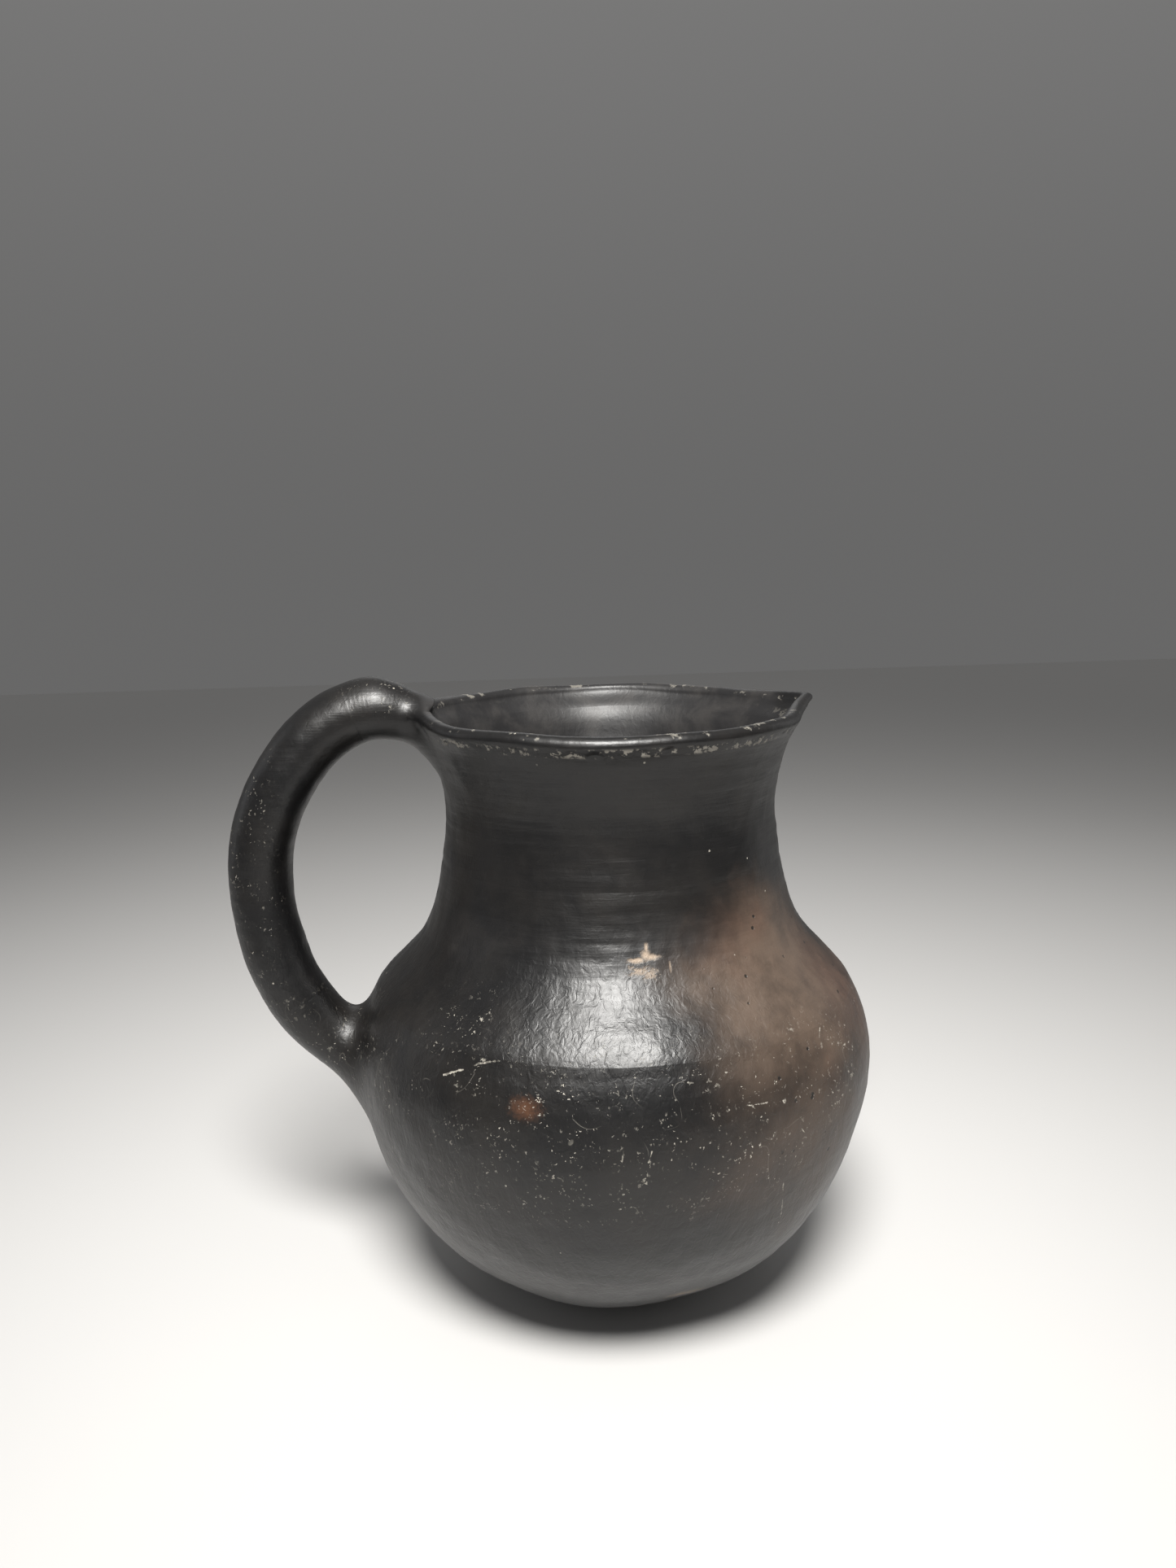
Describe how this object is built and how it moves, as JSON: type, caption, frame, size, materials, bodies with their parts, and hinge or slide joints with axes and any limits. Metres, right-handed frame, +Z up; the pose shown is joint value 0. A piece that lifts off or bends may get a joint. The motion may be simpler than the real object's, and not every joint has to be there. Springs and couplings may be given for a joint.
{
  "type": "clay jug",
  "caption": "Burnished black clay jug with a round belly, a flared mouth with a pinched spout, and a looped coil handle.",
  "frame": {"origin": "middle of the flat that the jug stands on", "axes": "+Z up along the axis of the jug, +X towards the spout, handle on the -X side, +Y by the right-hand rule"},
  "size_m": [0.2389, 0.195, 0.2405],
  "materials": {
    "burnished_black_clay": "smoke blackened, burnished to a soft gloss, with brown fire clouds and worn scratches"
  },
  "bodies": {
    "root": {"base_slab": "burnished_black_clay", "lower_bowl": "burnished_black_clay", "shoulder_band": "burnished_black_clay", "neck_band": "burnished_black_clay", "mouth_collar": "burnished_black_clay", "lip_coil": "burnished_black_clay", "handle": "burnished_black_clay", "upper_luting": "burnished_black_clay", "lower_luting": "burnished_black_clay"}
  },
  "joints": []
}
